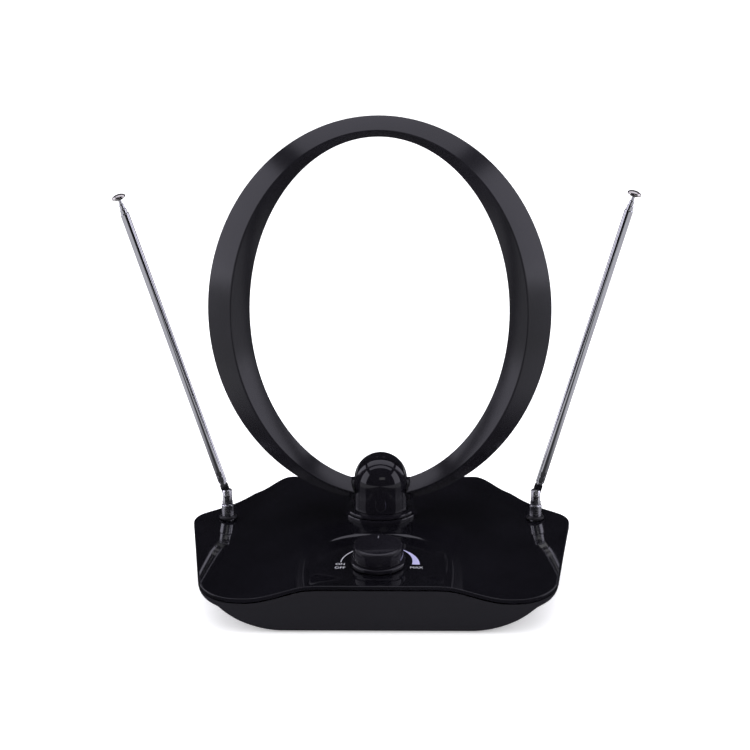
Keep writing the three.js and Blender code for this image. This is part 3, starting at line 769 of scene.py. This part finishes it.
socket_nickel = plated("socket_nickel", (0.66, 0.64, 0.6), rough=0.22)
jack_black = satin_plastic("jack_black")
place_piece("coax_barrel", coax_barrel(), "base", socket_nickel, replaces=["coax_socket"])
coax_nut = hex_nut(COAX_HOLE, NUT_CORNER, 0.6, 2.6, coax_axis)
place_piece("coax_hex", coax_nut, "base", socket_nickel, replaces=["coax_nut"])
jack = spun(JACK_SHAPE, 40, jack_axis)
place_piece("power_jack", jack, "base", jack_black, replaces=["power_socket"])
jack_pin = spun(JACK_PIN_SHAPE, 24, jack_axis)
place_piece("power_pin", jack_pin, "base", socket_nickel)


# ---- Gain knob ----
# A black polished knob pressed on the gain control's shaft: a wide skirt, a groove above it and a drum with
# a rounded top edge. A short grey dash on top points at the scale.
knob_axis = at(0, KNOB_Y, cover_height(0, KNOB_Y)) @ Matrix.Rotation(math.atan(FRONT_SLOPE), 4, "X")
KNOB_SHAPE = [
    (7, 0.6), (16, 0.6), (16.4, 1), (16.4, 2.4), (16, 2.95), (15.4, 3.2), (14.5, 3.3), (14.1, 3.6),
    (14.1, 4.3), (14.5, 4.6), (15, 4.9), (15.05, 5.4), (14.75, 11.7), (14.5, 12.4), (13.9, 12.85),
    (13.2, 13), (12.6, 12.95), (12, 12.8), (0, 12.8),
]
KNOB_HOLLOW = [(7, 4), (3.3, 4), (3.3, 8.8), (0, 8.8)]
DASH_Y = 9.6
DASH_Z = 12.84
DASH_HALF = (0.35, 1.6)
knob_black = gloss_plastic("knob_black", rough=0.07, haze=0.15)
knob = spun(KNOB_SHAPE[::-1] + KNOB_HOLLOW, 96, knob_axis)
place_piece("gain_dial", knob, "knob", knob_black, replaces=["gain_knob"])
dash = bmesh.new()
bmesh.ops.create_grid(dash, x_segments=1, y_segments=1, size=1)
dash_size = Matrix.Diagonal((DASH_HALF[0] * MM, DASH_HALF[1] * MM, 1, 1))
bmesh.ops.transform(dash, matrix=knob_axis @ at(0, DASH_Y, DASH_Z) @ dash_size, verts=dash.verts)
place_piece("dial_dash", dash, "knob", ink("grey_ink", (0.12, 0.12, 0.14)))


# ---- Boss and turntable ----
# A fixed ring moulded to the cover's slope gives the post a level seat. The turntable's flange turns on it,
# its hollow stem passes through the cover and a spring clip holds it from below.
BOSS_LOW = 30
BOSS_LIFT = 0.05
BOSS_SHAPE = [
    (POST_HOLE, BOSS_LOW), (22.8, BOSS_LOW), (22.8, 39.6), (22.4, 40.1), (POST_HOLE, 40.1),
    (POST_HOLE, BOSS_LOW),
]
TURNTABLE_SHAPE = [
    (5, 24), (9, 24), (9, 26.6), (7.6, 26.6), (7.6, 28.2), (9, 28.2), (9, 40.4), (21.2, 40.4), (21.6, 40.7),
    (21.6, 41.7), (21.2, 42.2), (20.6, 42.4), (5, 42.4), (5, 24),
]
post = at(0, POST_Y, 0)
post_black = gloss_plastic("post_black", rough=0.06, haze=0.12)
boss = spun(BOSS_SHAPE, 96, post)
for vert in boss.verts:
    if vert.co.z < (BOSS_LOW + 1) * MM:
        vert.co.z = (cover_height(vert.co.x / MM, vert.co.y / MM) + BOSS_LIFT) * MM
place_piece("seat_ring", boss, "base", post_black, replaces=["post_boss"])
place_piece("turntable", spun(TURNTABLE_SHAPE, 96, post), "post", post_black,
            replaces=["post_turntable"])


# ---- Hood ----
# Two black shells that stand on the turntable and make the domed post. The back one is taller and narrower.
# The loop's barrel passes through both sides at the tilt axis.
HOOD_LOW = 42.7
HOOD_WALL = 1.8
HOOD_BACK = {"radius": 16.5, "top": 77.4, "split_y": -5}
HOOD_FRONT = {"radius": 17.4, "top": 76, "split_y": -5.3}
DOME_ROWS = 20
TILT_Z = 53.6
BARREL_HOLE = 7.3
tilt_axis = at(0, POST_Y, TILT_Z) @ Matrix.Rotation(math.pi / 2, 4, "Y")


def dome_shape(radius, top):
    shape = [(radius, HOOD_LOW)]
    for i in range(DOME_ROWS + 1):
        turn = i / DOME_ROWS * math.pi / 2
        reach = 0 if i == DOME_ROWS else radius * math.cos(turn)
        shape.append((reach, top - radius + radius * math.sin(turn)))
    return shape


def hood_shell(radius, top, split_y, keep_back):
    outside = dome_shape(radius, top)
    inside = dome_shape(radius - HOOD_WALL, top - HOOD_WALL)
    bm = spun(outside + inside[::-1] + outside[:1], 96)
    bmesh.ops.bisect_plane(
        bm, geom=bm.verts[:] + bm.edges[:] + bm.faces[:], plane_co=(0, split_y * MM, 0),
        plane_no=(0, 1, 0), clear_inner=keep_back, clear_outer=not keep_back,
    )
    open_edges = [edge for edge in bm.edges if edge.is_boundary]
    bmesh.ops.triangle_fill(bm, use_beauty=True, edges=open_edges)
    face_outward(bm)
    bmesh.ops.transform(bm, matrix=post, verts=bm.verts)
    return drilled(bm, cylinder(BARREL_HOLE, -40, 40, 48, tilt_axis))


hood_black = gloss_plastic("hood_black", rough=0.05, haze=0.1)
hood_back = hood_shell(**HOOD_BACK, keep_back=True)
place_piece("hood_rear", hood_back, "post", hood_black, replaces=["hood_back"])
hood_front = hood_shell(**HOOD_FRONT, keep_back=False)
place_piece("hood_face", hood_front, "post", hood_black, replaces=["hood_front"])


# ---- Oval loop ----
# Two mirrored halves moulded in black plastic, each with a ridge nearer its inner rim, welded round a brass
# strip. Their ends are hollowed to clear the hood, and a barrel between them tilts in it.
LOOP_MIDDLE = 167.3
LOOP_OUTER = (105.1, 121.3)
LOOP_INNER = (79.4, 108.5)
LOOP_STEPS = 176
RIDGE_DEPTH = 12
RIDGE_AT = 0.42
RIDGE_ANGLE = 35
RIDGE_ROUND = 1.1
HALF_GAP = 0.15
LOOP_SECTION = [
    (0, HALF_GAP), (RIDGE_AT, RIDGE_DEPTH), (1, HALF_GAP), (0.8, HALF_GAP), (0.8, 1.6),
    (RIDGE_AT, RIDGE_DEPTH - 2.6), (0.2, 1.6), (0.2, HALF_GAP),
]  # share of the way from the inner rim to the outer, and depth
HOOD_ROOM = 19.7
PIN_END = 21.2
PIN_RADIUS = 1.7
HUB_HALF = 18
HUB_BORE = 2.4


def loop_half(face):
    """One half: its section goes round a unit ring, which is then drawn out to the oval."""
    bm = bmesh.new()
    verts = [bm.verts.new((1 + across, depth, 0)) for across, depth in LOOP_SECTION]
    edges = [bm.edges.new((a, b)) for a, b in zip(verts, verts[1:] + verts[:1])]
    bmesh.ops.spin(
        bm, geom=verts + edges, cent=(0, 0, 0), axis=(0, 1, 0), angle=2 * math.pi,
        steps=LOOP_STEPS, use_merge=True, use_duplicate=False,
    )
    for vert in bm.verts:
        turn = math.atan2(vert.co.z, vert.co.x)
        across = math.hypot(vert.co.x, vert.co.z) - 1
        x = mix(LOOP_INNER[0], LOOP_OUTER[0], across) * math.cos(turn)
        z = mix(LOOP_INNER[1], LOOP_OUTER[1], across) * math.sin(turn)
        vert.co = Vector((x, face * vert.co.y, LOOP_MIDDLE + z)) * MM
    face_outward(bm)
    ridges = [
        edge for edge in bm.edges
        if edge.calc_face_angle(0) > math.radians(RIDGE_ANGLE)
        and abs(edge.verts[0].co.y - edge.verts[1].co.y) < 0.01 * MM
        and max(abs(vert.co.y) for vert in edge.verts) > (RIDGE_DEPTH - 0.1) * MM
    ]
    round_edges(bm, ridges, RIDGE_ROUND, segments=4)
    bmesh.ops.transform(bm, matrix=post, verts=bm.verts)
    hood_room = bmesh.new()
    bmesh.ops.create_uvsphere(
        hood_room, u_segments=64, v_segments=40, radius=HOOD_ROOM * MM, matrix=at(0, POST_Y, TILT_Z),
    )
    return drilled(bm, hood_room)


loop_black = gloss_plastic("loop_black", rough=0.2, haze=0.26, marks=0)
place_piece("loop_face", loop_half(-1), "loop", loop_black, replaces=["loop_front_shell"])
place_piece("loop_rear", loop_half(1), "loop", loop_black, replaces=["loop_back_shell"])
dress(plated("strip_brass", (0.7, 0.48, 0.2), rough=0.3), "loop_conductor")
right_half = [(0, PIN_END), (PIN_RADIUS, PIN_END), (PIN_RADIUS, HUB_HALF), (6.6, HUB_HALF), (7, 17.6)]
left_half = [(radius, -z) for radius, z in reversed(right_half)]
lead_way = cylinder(HUB_BORE, -10, 0, 24, at(0, POST_Y, TILT_Z))
hub = drilled(spun(right_half + left_half, 64, tilt_axis), lead_way)
place_piece("loop_barrel", hub, "loop", satin_plastic("barrel_black"), replaces=["loop_hub"])


# ---- Telescopic rods ----
# Each rod turns on a stem in a chromed bush and tilts on a rivet in a fork. Three chromed brass tubes and a
# thin rod slide in one another. The widest tube is crimped on its root in two places, and the thin rod ends
# in a turned button.
PIVOT_HEIGHT = 16.2
PIVOT_Z = cover_height(ROD_X, ROD_Y) + PIVOT_HEIGHT
TUBES = ((2.7, 8.8, 190), (2.1, 24, 193), (1.55, 27, 196))  # radius, lower end, upper end
TUBE_WALL = 0.25
TIP_LOW = 30
TIP_TOP = 198.4
CRIMPS = ((9.8, 12.6), (13.6, 16.4))  # lower and upper end
CRIMP_DEPTH = 0.7
CRIMP_HALF = 1.35
CRIMP_ROWS = 44
CRIMP_ROW = 0.2
RING_SHAPE = [(4.2, 0.9), (5.6, 0.9), (5.6, 1.6), (4.9, 2.4), (4.5, 2.6), (4.2, 2.6), (4.2, 0.9)]
BUSH_SHAPE = [(2.3, -18.7), (3.9, -18.7), (3.9, -6.9), (3.3, -6.3), (2.3, -6.3), (2.3, -18.7)]
FORK_SHAPE = [
    (0, -23.6), (1.7, -23.6), (2, -23.3), (2, -6), (3, -6), (3.3, -5.7), (3.3, 2.6), (2.9, 3.3), (2.2, 3.6),
    (0, 3.6),
]
FORK_SLOT = (10, 3.2, 8.4)
FORK_FLAT = (10, 4, 20)
FORK_FLAT_Y = 5
RIVET_HEAD = [(0, -3.9), (0.8, -3.85), (1.5, -3.65), (1.9, -3.35), (1.9, -3.05), (1.2, -3.05)]
RIVET_HOLE = 1.5
TONGUE = (4.8, 2.6, 11.4)
TONGUE_Z = 2.7
TONGUE_ROUND = 1.9
PLUG_SHAPE = [
    (0, 7.6), (2.1, 7.6), (2.1, 9.4), (1.6, 9.7), (1.6, 16.5), (2.1, 16.8), (2.1, 19.6), (1.7, 20), (0, 20),
]
BUTTON_SHAPE = [
    (0, 0.3), (2.2, 0.3), (2.6, 0.7), (3.9, 1.1), (4.3, 1.5), (4.3, 2.2), (4, 2.7), (3.2, 3.2), (2.2, 3.6),
    (1.1, 3.83), (0, 3.9),
]


def block(size, z=0, y=0):
    bm = bmesh.new()
    bmesh.ops.create_cube(bm, size=1, matrix=at(0, y, z) @ Matrix.Diagonal([s * MM for s in size] + [1]))
    return bm


def fork(matrix):
    bm = spun(FORK_SHAPE, 48)
    for side in (-1, 1):
        bm = drilled(bm, block(FORK_FLAT, y=side * FORK_FLAT_Y))
    bm = drilled(bm, block(FORK_SLOT), cylinder(RIVET_HOLE, -6, 6, 32, lying))
    bmesh.ops.transform(bm, matrix=matrix, verts=bm.verts)
    return bm


def rod_root(matrix):
    tongue = block(TONGUE, z=TONGUE_Z)
    ends = [edge for edge in tongue.edges if abs(edge.verts[0].co.y - edge.verts[1].co.y) > MM]
    round_edges(tongue, ends, TONGUE_ROUND, segments=6)
    tongue = drilled(tongue, cylinder(RIVET_HOLE, -6, 6, 32, lying))
    held = finished_mesh("held", spun(PLUG_SHAPE, 32))
    tongue.from_mesh(held)
    bpy.data.meshes.remove(held)
    bmesh.ops.transform(tongue, matrix=matrix, verts=tongue.verts)
    return tongue


def tube(radius, low, high, matrix, crimped=False):
    bore = radius - TUBE_WALL
    rows = [low + 0.15]
    if crimped:
        rows += [low + 0.4 + i * CRIMP_ROW for i in range(CRIMP_ROWS)]
    shape = [(bore, low), (radius - 0.1, low)] + [(radius, z) for z in rows]
    shape += [(radius, high - 0.9), (radius - 0.06, high - 0.35), (radius - 0.2, high), (bore, high)]
    shape += [(bore, z) for z in reversed(rows[1:])] + [(bore, low)]
    bm = spun(shape, 64 if crimped else 40)
    if crimped:
        for vert in bm.verts:
            z = vert.co.z / MM
            outer = vert.co.xy.length > (bore + 0.1) * MM
            flat = (radius - CRIMP_DEPTH if outer else radius - CRIMP_DEPTH - TUBE_WALL) * MM
            if abs(vert.co.x) < CRIMP_HALF * MM and any(bottom <= z <= top for bottom, top in CRIMPS):
                vert.co.y = math.copysign(min(abs(vert.co.y), flat), vert.co.y)
    bmesh.ops.transform(bm, matrix=matrix, verts=bm.verts)
    return bm


def stand_rod(side, name, lean_degrees):
    foot = at(side * ROD_X, ROD_Y, PIVOT_Z)
    lean = side * math.radians(lean_degrees)
    arm = foot @ Matrix.Rotation(lean, 4, "Y")
    along_rod = (tuple(foot.translation), (0, lean, 0))
    upright = (tuple(foot.translation), (0, 0, 0))
    drawn = plated(f"{name}_rod_chrome", (0.86, 0.86, 0.89), 0.05, (1, 1, 0.012), along_rod, 0.06, 1500)
    turned = plated(f"{name}_foot_chrome", (0.92, 0.92, 0.95), 0.21, (0.05, 0.05, 1), upright, 0.15, 1500)
    collar_black = satin_plastic(f"{name}_collar_black")
    ring = spun(RING_SHAPE, 48, foot @ at(0, 0, -PIVOT_HEIGHT))
    place_piece(f"{name}_foot_ring", ring, "base", collar_black, replaces=[f"{name}_collar"])
    bush = spun(BUSH_SHAPE, 48, foot)
    place_piece(f"{name}_bush", bush, "base", turned, replaces=[f"{name}_ferrule"])
    place_piece(f"{name}_clevis", fork(foot), f"{name}_foot", turned, replaces=[f"{name}_fork"])
    other_head = [(radius, -z) for radius, z in reversed(RIVET_HEAD)]
    pin = spun(RIVET_HEAD + other_head, 32, foot @ lying)
    place_piece(f"{name}_pin", pin, f"{name}_foot", turned, replaces=[f"{name}_rivet"])
    place_piece(f"{name}_root", rod_root(arm), f"{name}_rod", drawn, replaces=[f"{name}_rod_root"])
    for i, (radius, bottom, top) in enumerate(TUBES):
        body = f"{name}_rod" if i == 0 else f"{name}_section_{i + 1}"
        made = tube(radius, bottom, top, arm, crimped=i == 0)
        section = f"{name}_section_tube_{i + 1}"
        place_piece(section, made, body, drawn, replaces=[f"{name}_tube_{i + 1}"])
    thin = spun([(0, TIP_LOW), (1, TIP_LOW), (1, TIP_TOP), (0, TIP_TOP)], 24, arm)
    place_piece(f"{name}_thin_rod", thin, f"{name}_tip", drawn, replaces=[f"{name}_tip_rod"])
    button = spun(BUTTON_SHAPE, 48, arm @ at(0, 0, TIP_TOP))
    steel = plated(f"{name}_button_steel", (0.66, 0.63, 0.6), 0.14, (1, 1, 1), along_rod, 0.1, 1500)
    place_piece(f"{name}_button", button, f"{name}_tip", steel, replaces=[f"{name}_tip_button"])


stand_rod(-1, "left", 17.6)
stand_rod(1, "right", 16.4)
